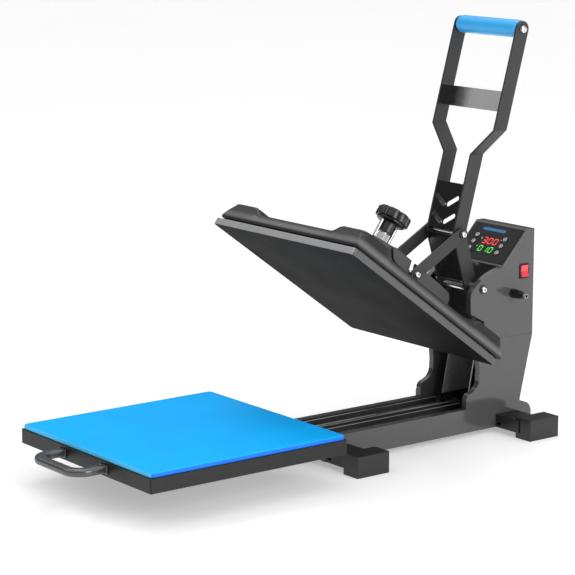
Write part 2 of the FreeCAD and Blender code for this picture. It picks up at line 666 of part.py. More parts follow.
def arm_bridge():
    """Channel welded between the arm plates: two cheeks and a web with the tall pressure nut."""
    y, z = level(SCREW_ALONG, BRIDGE_WEB)
    bridge = block(-ARM_INNER, ARM_INNER, level(146.0, 0.0)[0], level(240.0, 0.0)[0], z, z + 5.0)
    start = level(146.0, 66.0)
    moves = [level(146.0, 96.2), level(211.0, 103.5), level(232.0, 102.0), level(240.0, 96.0),
             level(240.0, 80.0), level(228.0, 66.0), start]
    cheek = prism_yz(start, moves, ARM_INNER - 3.0, ARM_INNER)
    bridge = bridge.fuse(cheek).fuse(mirrored(cheek))
    nut = hexagon_x(0.0, 25.0, (0.0, 0.0), 19.0)
    nut.rotate(vec(0, 0, 0), vec(0, 1, 0), -90.0)
    bridge = bridge.fuse(nut.translated(vec(0.0, y, z + 5.0)))
    bridge = bridge.cut(rod_z(z - 1.0, z + 31.0, 0.0, y, SCREW + FIT))
    for side in (-1, 1):
        bridge = bridge.cut(rod_z(z - 1.0, z + 6.0, 0.0, y + side * POST_OUT, POST + FIT))
    return swing_open(bridge.removeSplitter())


def arm_tie():
    return swing_open(rod_x(-ARM_INNER, ARM_INNER, level(400.0, 68.0), 8.0))


def link_shaft():
    """Shaft fixed in the lower ends of both links; it rides in the notches of the arm plates."""
    return headed_shaft(LINK_PIVOT, LINK_INNER + LINK_THICK, KNEE_RADIUS, 1.2)


def heat_plate():
    half = PLATEN / 2.0
    y, z = level(0.0, 0.0)
    return swing_open(rounded_slab(-half, half, y, y + PLATEN, z, z + HEAT_THICK, 6.0))


def insulation():
    half = PLATEN / 2.0 - 7.0
    y, z = level(0.0, HEAT_THICK)
    top = HEAT_FACE + COVER_VALLEY - 2.0
    return swing_open(rounded_slab(-half, half, y + 7.0, y + PLATEN - 7.0, z, top, 16.0))


LOBE_X = 108.0              # inner end of a corner lobe across the platen
FRONT_LOBE = 78.0           # length of the two front lobes
REAR_LOBE = 81.0            # length of the two rear lobes
COVER_REAR = 395.0          # rear face of the cover behind the heat plate's front edge
REAR_EDGE = 33.0            # height where the cover's rear face ends and its rear slope starts
REAR_SLOPE = 1.12           # rise of that slope for each mm forwards


def cover_body(inset, valley, lobe, low):
    """The cover's outer or inner shape: a slab with four raised corner lobes and a sloping rear."""
    half = PLATEN / 2.0 - inset
    shrink = inset - 3.0
    y0 = SHUT_FRONT + inset
    y1 = SHUT_FRONT + COVER_REAR - shrink
    body = rounded_slab(-half, half, y0, y1, low, HEAT_FACE + valley, 16.0)
    for side in (-1, 1):
        x = sorted((side * half, side * (LOBE_X + shrink)))
        for start, end in ((y0, SHUT_FRONT + FRONT_LOBE - shrink), (y1 - REAR_LOBE + shrink, y1)):
            raised = block(x[0], x[1], start, end, low, HEAT_FACE + lobe)
            outer = [e for e in raised.Edges if e.BoundBox.ZLength > 5.0
                     and abs(e.BoundBox.Center.x) > half - 1.0
                     and (abs(e.BoundBox.Center.y - y0) < 1.0 or abs(e.BoundBox.Center.y - y1) < 1.0)]
            body = body.fuse(raised.makeFillet(16.0, outer))
    edge = REAR_EDGE - shrink * math.hypot(1.0, REAR_SLOPE)
    start = level(COVER_REAR + 5.0, edge - 5.0 * REAR_SLOPE)
    peak = level(COVER_REAR - 25.0, edge + 25.0 * REAR_SLOPE)
    wedge = prism_yz(start, [(start[0], peak[1]), peak, start], -half - 1.0, half + 1.0)
    return body.cut(wedge).removeSplitter()


def platen_cover():
    low = HEAT_FACE + HEAT_THICK + GAP
    shell = cover_body(3.0, COVER_VALLEY, COVER_LOBE, low)
    room = cover_body(5.0, COVER_VALLEY - 2.0, COVER_LOBE - 2.0, low - 1.0)
    return swing_open(shell.cut(room))


def hanger():
    """Bracket on the cover that the pressure screw pushes and pulls, with two guide posts."""
    y, z = level(SCREW_ALONG, COVER_VALLEY)
    bracket = rounded_slab(-42.0, 42.0, y - 46.0, y + 46.0, z, z + 4.0, 6.0)
    bracket = bracket.fuse(rod_z(z + 4.0, z + 20.0, 0.0, y, 14.0))
    bracket = bracket.cut(rod_z(z + 6.0, z + 21.0, 0.0, y, 9.3))
    for side in (-1, 1):
        bracket = bracket.fuse(rod_z(z + 4.0, HEAT_FACE + KNOB_RIM - 6.0, 0.0, y + side * POST_OUT, POST))
    return swing_open(bracket.removeSplitter())


def pressure_screw():
    """Screw with a collared foot in the hanger's cup."""
    y, z = level(SCREW_ALONG, COVER_VALLEY)
    screw = rod_z(z + 7.0, HEAT_FACE + KNOB_TOP - 4.0, 0.0, y, SCREW)
    screw = screw.fuse(rod_z(z + 6.4, z + 16.0, 0.0, y, 9.0))
    return swing_open(screw.removeSplitter())


def pressure_knob():
    """Eight-lobed knob on a slightly tapered hub, with a dished ring under its rim."""
    y, low = level(SCREW_ALONG, KNOB_HUB)
    rim, high = HEAT_FACE + KNOB_RIM, HEAT_FACE + KNOB_TOP
    knob = Part.makeCone(12.5, 13.5, rim - low, vec(0.0, y, low))
    knob = knob.fuse(rod_z(rim - 4.0, rim, 0.0, y, KNOB_RADIUS - 5.0))
    knob = knob.fuse(rod_z(rim, high, 0.0, y, KNOB_RADIUS - 4.0))
    for i in range(8):
        turn = math.radians(45.0 * i)
        reach = KNOB_RADIUS - 8.0
        knob = knob.fuse(rod_z(rim, high, reach * math.cos(turn), y + reach * math.sin(turn), 8.0))
    knob = knob.cut(rod_z(low - 1.0, high - 4.0, 0.0, y, SCREW))
    return swing_open(knob.removeSplitter())


# ---------------------------------------------------------------- all the nodes
def all_parts():
    parts = {
        "front_crossbar": crossbar(FRONT_FOOT + 2.0), "rear_crossbar": crossbar(REAR_FOOT - 2.0),
        "base_tray": base_tray(), "stop_bracket": stop_bracket(), "column_channel": column_channel(),
        "control_box": control_box(), "control_box_rear_cover": rear_cover(), "control_fascia": fascia(),
        "display_window": display_window(), "controller_board": controller_board(),
        "switch_bezel": switch_bezel(), "switch_rocker": switch_rocker(), "cable_gland": cable_gland(),
        "handle_pivot_shaft": handle_pivot_shaft(), "arm_pivot_shaft": arm_pivot_shaft(),
        "carriage": carriage(), "lower_platen": lower_platen(), "silicone_pad": silicone_pad(),
        "drawer_handle": drawer_handle(), "slotted_plate": slotted_plate(), "cross_plate": cross_plate(),
        "leg_plate": leg_plate(), "knee_shaft": knee_shaft(), "grip_rod": grip_rod(),
        "grip_sleeve": grip_sleeve(), "arm_bridge": arm_bridge(), "arm_tie": arm_tie(),
        "link_shaft": link_shaft(), "heat_plate": heat_plate(), "insulation": insulation(),
        "platen_cover": platen_cover(), "hanger": hanger(), "pressure_screw": pressure_screw(),
        "pressure_knob": pressure_knob()}
    pairs = {
        "side_frame": side_frame(), "foot_front": foot(FRONT_FOOT, FRONT_FOOT + 2.0),
        "foot_rear": foot(REAR_FOOT, REAR_FOOT - 2.0), "slide_outer": slide_outer(),
        "slide_middle": slide_middle(), "slide_inner": slide_inner(), "handle_bar": handle_bar(),
        "link": link(), "arm_plate": arm_plate()}
    for name, solid in pairs.items():
        parts[name + "_right"] = solid
        parts[name + "_left"] = mirrored(solid)
    for i, (x, y) in enumerate(button_places(), 1):
        parts["button_%d" % i] = button(x, y)
    return parts


for name, shape in all_parts().items():
    shape.translate(vec(0.0, -ORIGIN_Y, 0.0))
    solids = len(shape.Solids)
    if solids != 1 or not shape.isValid():
        print("CHECK", name, "solids", solids, "valid", shape.isValid())
    shape.exportStep("parts/%s.step" % name)
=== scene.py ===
"""Looks of the heat press: rounded metalwork, moulded parts, silicone pad, display and studio."""
import json
import math

import bmesh
import bpy
from mathutils import Matrix, Vector


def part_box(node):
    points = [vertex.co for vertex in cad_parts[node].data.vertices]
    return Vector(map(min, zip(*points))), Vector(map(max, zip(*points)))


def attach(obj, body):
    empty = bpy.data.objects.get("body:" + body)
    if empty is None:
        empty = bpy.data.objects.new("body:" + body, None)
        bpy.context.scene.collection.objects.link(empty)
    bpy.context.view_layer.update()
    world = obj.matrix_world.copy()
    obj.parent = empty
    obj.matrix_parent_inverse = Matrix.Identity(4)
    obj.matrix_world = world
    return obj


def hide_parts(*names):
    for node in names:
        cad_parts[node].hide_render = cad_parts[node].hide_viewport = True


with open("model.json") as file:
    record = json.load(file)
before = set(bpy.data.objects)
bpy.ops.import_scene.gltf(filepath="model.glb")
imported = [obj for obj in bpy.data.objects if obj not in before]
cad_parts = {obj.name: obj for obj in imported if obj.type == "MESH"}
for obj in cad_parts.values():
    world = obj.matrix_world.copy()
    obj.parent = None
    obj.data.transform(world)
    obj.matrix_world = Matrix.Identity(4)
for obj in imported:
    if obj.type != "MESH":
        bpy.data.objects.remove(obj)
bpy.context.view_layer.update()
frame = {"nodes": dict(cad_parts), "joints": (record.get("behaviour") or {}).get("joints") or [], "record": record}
nodes = frame["nodes"]
joints = {j["name"]: j for j in frame["joints"]}
body_of = {n: b for b, members in frame["record"]["behaviour"]["bodies"].items() for n in members}
slot_of = {s["node"]: s["material_slot"] for s in frame["record"]["subparts"]}
MM = 0.001
WHITE = (1.0, 1.0, 1.0)
X_AXIS = Vector((1.0, 0.0, 0.0))
Y_AXIS = Vector((0.0, 1.0, 0.0))
Z_AXIS = Vector((0.0, 0.0, 1.0))

NOISE_LOW, NOISE_HIGH = 0.3, 0.7    # the range that most of a noise texture's values lie in
CLOUD_SCALE = 14.0                  # scale of the slow variation over a finish
CLOUD_DARKEST = 0.93                # and how dark it gets
GLOSS_SPREAD = 0.06                 # variation of the roughness over a finish


# ---------------------------------------------------------------- materials
def shader(name):
    """A new material: its node tree, its Principled shader and object coordinates."""
    material = bpy.data.materials.new(name)
    material.use_nodes = True
    tree = material.node_tree
    principled = next(n for n in tree.nodes if n.type == "BSDF_PRINCIPLED")
    place = tree.nodes.new("ShaderNodeTexCoord")
    return material, tree, principled, place.outputs["Object"]


def noise(tree, place, scale, detail=3.0, stretch=None):
    """Noise over the object, with an optional stretch along X, Y and Z."""
    if stretch:
        mapping = tree.nodes.new("ShaderNodeMapping")
        mapping.inputs["Scale"].default_value = stretch
        tree.links.new(place, mapping.inputs["Vector"])
        place = mapping.outputs["Vector"]
    node = tree.nodes.new("ShaderNodeTexNoise")
    node.inputs["Scale"].default_value = scale
    node.inputs["Detail"].default_value = detail
    tree.links.new(place, node.inputs["Vector"])
    return node.outputs["Fac"]


def ramp(tree, value, stops):
    """A colour ramp: stops are (position, (r, g, b))."""
    node = tree.nodes.new("ShaderNodeValToRGB")
    elements = node.color_ramp.elements
    while len(elements) > len(stops):
        elements.remove(elements[-1])
    while len(elements) < len(stops):
        elements.new(1.0)
    for element, (position, colour) in zip(elements, stops):
        element.position = position
        element.color = (*colour, 1.0)
    tree.links.new(value, node.inputs["Fac"])
    return node.outputs["Color"]


def spread(tree, value, low, high):
    """A noise value mapped to a range."""
    node = tree.nodes.new("ShaderNodeMapRange")
    node.inputs["From Min"].default_value = NOISE_LOW
    node.inputs["From Max"].default_value = NOISE_HIGH
    node.inputs["To Min"].default_value = low
    node.inputs["To Max"].default_value = high
    tree.links.new(value, node.inputs["Value"])
    return node.outputs["Result"]


def bump(tree, principled, height, strength, distance):
    """Relief of the surface from a height value, with its depth in metres."""
    node = tree.nodes.new("ShaderNodeBump")
    node.inputs["Strength"].default_value = strength
    node.inputs["Distance"].default_value = distance
    tree.links.new(height, node.inputs["Height"])
    tree.links.new(node.outputs["Normal"], principled.inputs["Normal"])


def shade(colour, factor):
    """A colour made darker or lighter, held to white."""
    return tuple(min(1.0, c * factor) for c in colour)


def finish_of(name, colour, rough, metal=0.0, grain=900.0, depth=0.00004, relief=0.25, contrast=0.12,
              coat=0.0, stretch=None, level=0.5):
    """A finish with fine grain, slow cloudy variation and uneven gloss."""
    material, tree, principled, place = shader(name)
    fine = noise(tree, place, grain, 2.0, stretch)
    slow = noise(tree, place, CLOUD_SCALE)
    base = ramp(tree, fine, [(NOISE_LOW, shade(colour, 1.0 - contrast)),
                             (NOISE_HIGH, shade(colour, 1.0 + contrast))])
    tint = ramp(tree, slow, [(NOISE_LOW, shade(WHITE, CLOUD_DARKEST)), (NOISE_HIGH, WHITE)])
    # inputs 6 and 7 and output 2 of a mix node are its colours
    mix = tree.nodes.new("ShaderNodeMix")
    mix.data_type = "RGBA"
    mix.blend_type = "MULTIPLY"
    mix.inputs[0].default_value = 1.0
    tree.links.new(base, mix.inputs[6])
    tree.links.new(tint, mix.inputs[7])
    tree.links.new(mix.outputs[2], principled.inputs["Base Color"])
    tree.links.new(spread(tree, slow, rough - GLOSS_SPREAD / 2.0, rough + GLOSS_SPREAD / 2.0),
                   principled.inputs["Roughness"])
    principled.inputs["Metallic"].default_value = metal
    principled.inputs["Specular IOR Level"].default_value = level
    principled.inputs["Coat Weight"].default_value = coat
    principled.inputs["Coat Roughness"].default_value = 0.08
    bump(tree, principled, fine, relief, depth)
    return material


def glow(name, colour, strength):
    """A lit segment of the display, a little uneven in its brightness."""
    material, tree, principled, place = shader(name)
    fine = noise(tree, place, 1500.0, 1.0)
    lit = ramp(tree, fine, [(0.2, shade(colour, 0.85)), (0.8, colour)])
    tree.links.new(lit, principled.inputs["Emission Color"])
    tree.links.new(lit, principled.inputs["Base Color"])
    principled.inputs["Emission Strength"].default_value = strength
    principled.inputs["Roughness"].default_value = 0.3
    return material


def dotted(name, colour, pitch):
    """Steel with a close grid of small round dimples, turned 45 degrees, with painted shade in each dimple."""
    material, tree, principled, place = shader(name)
    mapping = tree.nodes.new("ShaderNodeMapping")
    mapping.inputs["Rotation"].default_value = (0.0, 0.0, math.radians(45.0))
    mapping.inputs["Scale"].default_value = (1.0, 1.0, 0.0)
    tree.links.new(place, mapping.inputs["Vector"])
    cells = tree.nodes.new("ShaderNodeTexVoronoi")
    cells.inputs["Scale"].default_value = 1.0 / pitch
    cells.inputs["Randomness"].default_value = 0.0
    tree.links.new(mapping.outputs["Vector"], cells.inputs["Vector"])
    # painted shade: each dimple is dark in its middle
    dimple_shade = ramp(tree, cells.outputs["Distance"], [(0.22, shade(colour, 0.10)), (0.34, colour)])
    tree.links.new(dimple_shade, principled.inputs["Base Color"])
    principled.inputs["Metallic"].default_value = 0.6
    principled.inputs["Roughness"].default_value = 0.4
    bump(tree, principled, cells.outputs["Distance"], 0.6, 0.0004)
    return material


# the finish of each material slot in the record
PAINT = {
    "frame_paint": finish_of("frame_gloss_grey", (0.066, 0.066, 0.068), 0.13, grain=700.0, relief=0.05,
                             contrast=0.05, coat=0.25),
    "base_paint": finish_of("base_black", (0.010, 0.010, 0.010), 0.32, grain=1200.0, relief=0.2),
    "foot": finish_of("foot_moulded", (0.009, 0.009, 0.009), 0.30, grain=1600.0, relief=0.15, coat=0.1),
    "slide": finish_of("slide_steel", (0.10, 0.10, 0.10), 0.36, metal=0.9, grain=500.0, relief=0.15,
                       stretch=(1.0, 0.04, 1.0)),
    "handle_paint": finish_of("handle_textured", (0.026, 0.026, 0.026), 0.48, grain=1500.0, relief=0.45,
                              contrast=0.3, depth=0.00008),
    "arm_paint": finish_of("arm_textured", (0.050, 0.050, 0.050), 0.46, grain=1500.0, relief=0.4,
                           contrast=0.25, depth=0.00008),
    "shaft": finish_of("bright_chrome", (0.82, 0.82, 0.83), 0.12, metal=1.0, grain=300.0, relief=0.05,
                       contrast=0.04),
    "lower_platen": finish_of("platen_hammered", (0.010, 0.010, 0.011), 0.42, grain=520.0, relief=0.7,
                              contrast=0.5, depth=0.0002, level=0.35),
    "heat_plate": finish_of("heat_face_coated", (0.0045, 0.0045, 0.0045), 0.62, grain=2200.0,
                            relief=0.1, contrast=0.2, level=0.06),
    "cover": finish_of("cover_satin_black", (0.042, 0.042, 0.043), 0.30, grain=2000.0, relief=0.12,
                       contrast=0.15, level=0.20),
    "insulation": finish_of("fibre_board", (0.05, 0.05, 0.048), 0.9, grain=300.0, relief=0.6,
                            contrast=0.3, depth=0.0003, stretch=(1.0, 0.2, 1.0)),
    "pad": finish_of("blue_silicone", (0.003, 0.42, 1.0), 0.55, grain=900.0, relief=0.12, contrast=0.06,
                     depth=0.00005, level=0.08),
    "drawer_handle": finish_of("drawer_handle_black", (0.085, 0.085, 0.087), 0.30, metal=0.5, grain=1500.0,
                               relief=0.12, coat=0.4),
    "grip": finish_of("blue_grip", (0.03, 0.46, 1.0), 0.38, grain=900.0, relief=0.1, contrast=0.05,
                      coat=0.1),
    "black_plastic": finish_of("black_moulded", (0.010, 0.010, 0.010), 0.33, grain=1800.0, relief=0.2,
                               contrast=0.2),
    "fascia": finish_of("panel_film", (0.005, 0.005, 0.006), 0.32, grain=1800.0, relief=0.08,
                        contrast=0.1, level=0.25),
    "button": finish_of("button_cap", (0.07, 0.07, 0.075), 0.30, grain=1500.0, relief=0.1),
    "rocker": finish_of("red_rocker", (0.75, 0.045, 0.06), 0.22, grain=800.0, relief=0.08,
                        contrast=0.08, coat=0.5),
    "board": finish_of("circuit_board", (0.03, 0.16, 0.07), 0.45, grain=400.0, relief=0.3,
                       contrast=0.35),
}
# finishes of single faces and small pieces
STEEL = finish_of("turned_steel", (0.38, 0.38, 0.39), 0.22, metal=1.0, grain=400.0, relief=0.1,
                  contrast=0.1)
# darker and lighter copies of the pad's blue: painted shade for its sides, painted light for its front
PAD_SIDE_PAINTED_SHADE = finish_of("blue_silicone_side_painted_shade", (0.012, 0.17, 0.80), 0.5, grain=900.0, relief=0.12,
                     contrast=0.06, depth=0.00005, level=0.2)
PAD_FRONT_PAINTED_LIGHT = finish_of("blue_silicone_front_painted_light", (0.08, 0.58, 1.0), 0.5, grain=900.0, relief=0.12,
                      contrast=0.06, depth=0.00005, level=0.2)
# light grey metal: the gland's tip, and the heat plate's front and rear edges, where it is partly a painted
# highlight
LIGHT_METAL_AND_HIGHLIGHT = finish_of("light_metal_and_painted_highlight", (0.33, 0.33, 0.335), 0.42, metal=0.15, grain=1300.0, relief=0.35,
                       contrast=0.2, depth=0.00008)
# a darker copy of the plate's edge metal: painted shade on its left and right edges
EDGE_PAINTED_SHADE = finish_of("platen_edge_side_painted_shade", (0.075, 0.075, 0.076), 0.45, grain=1300.0, relief=0.5,
                      contrast=0.35, depth=0.0001)
RING_WHITE = finish_of("button_ring", (0.80, 0.80, 0.80), 0.3, grain=900.0, relief=0.05, contrast=0.05)
PRINT_BLUE = finish_of("panel_stripe", (0.01, 0.17, 0.45), 0.3, grain=900.0, relief=0.05, contrast=0.2)
# a lighter copy of the rail steel: a painted highlight on the rails' top lips
LIP_PAINTED_HIGHLIGHT = finish_of("slide_lip_painted_highlight", (0.45, 0.45, 0.45), 0.35, metal=0.2, grain=900.0, relief=0.1,
                      contrast=0.1)
DIMPLED = dotted("slide_dimpled", (0.42, 0.42, 0.42), 0.0042)


def painted_reflection_fade(name, dark, light, start, end):
    """A glossy finish with a painted reflection that fades from dark to light along X, between two places in
    metres.
    """
    material, tree, principled, place = shader(name)
    axes = tree.nodes.new("ShaderNodeSeparateXYZ")
    tree.links.new(place, axes.inputs["Vector"])
    share = tree.nodes.new("ShaderNodeMapRange")
    share.inputs["From Min"].default_value = start
    share.inputs["From Max"].default_value = end
    tree.links.new(axes.outputs["X"], share.inputs["Value"])
    wobble = tree.nodes.new("ShaderNodeMath")
    wobble.operation = "ADD"
    tree.links.new(share.outputs["Result"], wobble.inputs[0])
    tree.links.new(spread(tree, noise(tree, place, 260.0), -0.10, 0.10), wobble.inputs[1])
    colour = ramp(tree, wobble.outputs["Value"], [(0.0, dark), (0.45, shade(light, 0.25)), (1.0, light)])
    tree.links.new(colour, principled.inputs["Base Color"])
    principled.inputs["Roughness"].default_value = 0.28
    bump(tree, principled, noise(tree, place, 900.0), 0.1, 0.00004)
    return material


# the cross plate's painted reflection: black at its left, light grey at its right
PLATE_PAINTED_REFLECTION = painted_reflection_fade("plate_gloss_painted_reflection", (0.006, 0.006, 0.006), (0.40, 0.40, 0.40), -0.040, 0.006)
# a painted reflection for the column channel's front faces, lighter towards +X
CHANNEL_PAINTED_REFLECTION = painted_reflection_fade("channel_gloss_painted_reflection", (0.06, 0.06, 0.06), (0.85, 0.85, 0.85), -0.070, 0.030)
PLATE_BLACK = finish_of("plate_gloss_black", (0.012, 0.012, 0.012), 0.18, grain=900.0, relief=0.05,
                        contrast=0.1, coat=0.3)
RED_GLOW = glow("digits_red", (0.95, 0.04, 0.04), 0.9)
GREEN_GLOW = glow("digits_green", (0.06, 0.75, 0.08), 0.8)
WINDOW = finish_of("display_filter", (0.005, 0.004, 0.005), 0.30, grain=600.0, relief=0.03, contrast=0.1,
                   level=0.25)


# ---------------------------------------------------------------- mesh helpers
WELD = 3e-6                 # corners of the CAD mesh closer than this are one, in metres
FLAT_ANGLE = 0.6            # faces that meet at less than this are one flat face, in degrees
MOST_CORNERS = 100          # a flat face with more corners than this is cut into triangles
SHARP_ANGLE = 40.0          # edges sharper than this are rounded and stay crisp, in degrees
BEVEL_STEPS = 2


def add(name, mesh, materials):
    """A new object of the scene with its materials in order."""
    piece = bpy.data.objects.new(name, mesh)
    bpy.context.scene.collection.objects.link(piece)
    for material in materials:
        mesh.materials.append(material)
    return piece


def soften(piece):
    """Smooth shading that keeps flat faces flat."""
    piece.data.polygons.foreach_set("use_smooth", [True] * len(piece.data.polygons))
    piece.data.set_sharp_from_angle(angle=math.radians(SHARP_ANGLE))
    weighted = piece.modifiers.new("weighted", "WEIGHTED_NORMAL")
    weighted.keep_sharp = True


def rounded(node, width, material=None):
    """A CAD solid with its sharp edges rounded by a width in mm, standing in its own place."""
    bm = bmesh.new()
    bm.from_mesh(nodes[node].data)
    for layer in list(bm.loops.layers.float_vector.values()):
        bm.loops.layers.float_vector.remove(layer)
    bmesh.ops.remove_doubles(bm, verts=bm.verts, dist=WELD)
    bmesh.ops.dissolve_limit(bm, angle_limit=math.radians(FLAT_ANGLE), verts=bm.verts, edges=bm.edges)
    bmesh.ops.triangulate(bm, faces=[f for f in bm.faces if len(f.verts) > MOST_CORNERS])
    mesh = bpy.data.meshes.new(node + "_rounded")
    bm.to_mesh(mesh)
    bm.free()
    piece = add(node + "_rounded", mesh, [material or PAINT[slot_of[node]]])
    bevel = piece.modifiers.new("edges", "BEVEL")
    bevel.width = width * MM
    bevel.segments = BEVEL_STEPS
    bevel.limit_method = "ANGLE"
    bevel.angle_limit = math.radians(SHARP_ANGLE)
    soften(piece)
    return settle(piece, node)


def settle(piece, node):
    """The piece rides on the node's body and replaces it."""
    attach(piece, body_of[node])
    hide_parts(node)
    return piece


def trim(piece, node):
    """An extra piece that rides with a node's body."""
    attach(piece, body_of[node])


def lofted(name, rings, materials, close_start=True, close_end=True, matrix=None, sharp=SHARP_ANGLE):
    """A skin through closed rings of points, each with the same count."""
    bm = bmesh.new()
    rows = [[bm.verts.new(p) for p in ring] for ring in rings]
    count = len(rings[0])
    for lower, upper in zip(rows, rows[1:]):
        for i in range(count):
            j = (i + 1) % count
            bm.faces.new((lower[i], lower[j], upper[j], upper[i]))
    if close_start:
        bm.faces.new(rows[0][::-1])
    if close_end:
        bm.faces.new(rows[-1])
    bmesh.ops.recalc_face_normals(bm, faces=bm.faces)
    mesh = bpy.data.meshes.new(name)
    bm.to_mesh(mesh)
    bm.free()
    if matrix:
        mesh.transform(matrix)
    piece = add(name, mesh, materials)
    mesh.polygons.foreach_set("use_smooth", [True] * len(mesh.polygons))
    mesh.set_sharp_from_angle(angle=math.radians(sharp))
    return piece


def rectangle(x0, x1, y0, y1, radius, z, side, corner):
    """A ring of points round a rectangle with round corners.

    z is a height or a function of x and y; side and corner are the steps along a side and round a corner.
    """
    ring = []
    centres = [(x1 - radius, y0 + radius, -90.0), (x1 - radius, y1 - radius, 0.0),
               (x0 + radius, y1 - radius, 90.0), (x0 + radius, y0 + radius, 180.0)]
    for index, (cx, cy, start) in enumerate(centres):
        arc = []
        for k in range(corner + 1):
            turn = math.radians(start + 90.0 * k / corner)
            arc.append((cx + radius * math.cos(turn), cy + radius * math.sin(turn)))
        ring += arc
        nx, ny, begin = centres[(index + 1) % 4]
        turn = math.radians(begin)
        there = (nx + radius * math.cos(turn), ny + radius * math.sin(turn))
        here = arc[-1]
        for k in range(1, side):
            share = k / side
            ring.append((here[0] + (there[0] - here[0]) * share, here[1] + (there[1] - here[1]) * share))
    height = z if callable(z) else lambda x, y: z
    return [(x, y, height(x, y)) for x, y in ring]


def turned(name, profile, materials, matrix, steps, shape=None, sharp=SHARP_ANGLE):
    """A turned piece: profile is (radius, height); shape(angle, radius, height) may change a radius."""
    rings = []
    for radius, height in profile:
        ring = []
        for k in range(steps):
            angle = 2.0 * math.pi * k / steps
            r = shape(angle, radius, height) if shape else radius
            ring.append((r * math.cos(angle), r * math.sin(angle), height))
        rings.append(ring)
    return lofted(name, rings, materials, matrix=matrix, sharp=sharp)


def circle(radius, steps):
    """Points (x, y) round a circle."""
    return [(radius * math.cos(2.0 * math.pi * k / steps), radius * math.sin(2.0 * math.pi * k / steps))
            for k in range(steps)]


def centre(node):
    """The middle of a node's box."""
    low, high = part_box(node)
    return (low + high) / 2.0


def faces_by(piece, pick):
    """Gives each face the material index that pick(centre, normal) returns."""
    for face in piece.data.polygons:
        face.material_index = pick(face.center, face.normal)


# ---------------------------------------------------------------- the tilted platen's own frame
arm_pivot = Vector(joints["arm_hinge"]["pos_m"])
lift = Vector(joints["platen_lift"]["axis"])
tilt = math.atan2(lift.y, lift.z)
# from the level platen to the platen as it stands open, and back
swing = Matrix.Translation(arm_pivot) @ Matrix.Rotation(-tilt, 4, "X") @ Matrix.Translation(-arm_pivot)
unswing = swing.inverted()


def level_box(node):
    """A node's box as it lies when the upper platen is level."""
    points = [unswing @ v.co for v in nodes[node].data.vertices]
    low = Vector([min(p[i] for p in points) for i in range(3)])
    high = Vector([max(p[i] for p in points) for i in range(3)])
    return low, high


plate_low = level_box("heat_plate")[0]
cover_low, cover_high = level_box("platen_cover")
platen_up = (swing.to_3x3() @ Z_AXIS).normalized()


# ---------------------------------------------------------------- sheet metal, bars and shafts
WASHER_REACH = 6.9 * MM     # washers reach further than this from a shaft's axis, its heads don't
WASHER_DEPTH = 5.8 * MM     # and they lie this close to the shaft's ends
NUT_TALL = 24.5 * MM        # the pressure nut, from its foot to the top of the bridge
NUT_REACH = 16.0 * MM       # its faces lie this close to the screw's axis
HANGER_BASE = 4.5 * MM      # thickness of the hanger's base plate and its fillets
POST_ALONG = 18.0 * MM      # guide posts, from the screw's axis
POST_REACH = 3.2 * MM       # and their radius with a little to spare
RAIL_FLOOR = 3.0 * MM       # a rail's floor lies lower than this above its underside
GLAND_TIP = 5.0 * MM        # length of the gland's metal tip

for node in ("side_frame_right", "side_frame_left", "control_box", "control_box_rear_cover"):
    rounded(node, 0.7)
for node in ("front_crossbar", "rear_crossbar", "base_tray", "stop_bracket", "carriage"):
    rounded(node, 0.5)
for node in ("foot_front_right", "foot_front_left", "foot_rear_right", "foot_rear_left"):
    rounded(node, 0.6)
for node in ("handle_bar_right", "handle_bar_left", "link_right", "link_left", "arm_plate_right",
             "arm_plate_left", "arm_tie"):
    rounded(node, 0.6)
for node in ("slotted_plate", "leg_plate"):
    rounded(node, 0.4, material=PLATE_BLACK)
# the cross plate gets a painted reflection, dark at its left and light at its right
rounded("cross_plate", 0.4, material=PLATE_PAINTED_REFLECTION)

# painted reflection: a light colour on the channel's front faces and on the inner face of its left flange
channel = rounded("column_channel", 0.5)
channel.data.materials.append(CHANNEL_PAINTED_REFLECTION)
faces_by(channel, lambda c, n: 1 if n.y < -0.7 or (n.x > 0.7 and c.x < 0.0) else 0)

# bright shafts with black washers
for node in ("handle_pivot_shaft", "arm_pivot_shaft", "knee_shaft", "link_shaft", "grip_rod"):
    shaft = rounded(node, 0.4)
    shaft.data.materials.append(PAINT["black_plastic"])
    axis = centre(node)
    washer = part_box(node)[1].x - WASHER_DEPTH
    for face in shaft.data.polygons:
        corners = [shaft.data.vertices[i].co for i in face.vertices]
        reach = max(math.hypot(c.y - axis.y, c.z - axis.z) for c in corners)
        face.material_index = 1 if reach > WASHER_REACH and abs(face.center.x) > washer else 0
rounded("pressure_screw", 0.5)
for node in ("lower_platen", "drawer_handle", "control_fascia", "controller_board", "switch_bezel",
             "switch_rocker"):
    rounded(node, 0.5)
rounded("display_window", 0.2, material=WINDOW)

screw_level = unswing @ centre("pressure_screw")
nut_foot = level_box("arm_bridge")[1].z - NUT_TALL
post_foot = level_box("hanger")[0].z + HANGER_BASE


def near_screw(point):
    """Whether a point of the bridge is on its pressure nut."""
    flat = unswing @ point
    return flat.z > nut_foot and math.hypot(flat.x, flat.y - screw_level.y) < NUT_REACH


def on_post(point):
    """Whether a point of the hanger is on one of its two guide posts."""
    flat = unswing @ point
    beside = abs(abs(flat.y - screw_level.y) - POST_ALONG)
    return flat.z > post_foot and beside < POST_REACH and abs(flat.x) < POST_REACH


bridge = rounded("arm_bridge", 0.5)
bridge.data.materials.append(STEEL)
faces_by(bridge, lambda c, n: 1 if near_screw(c) else 0)

hanger = rounded("hanger", 0.4)
hanger.data.materials.append(STEEL)
faces_by(hanger, lambda c, n: 1 if on_post(c) else 0)

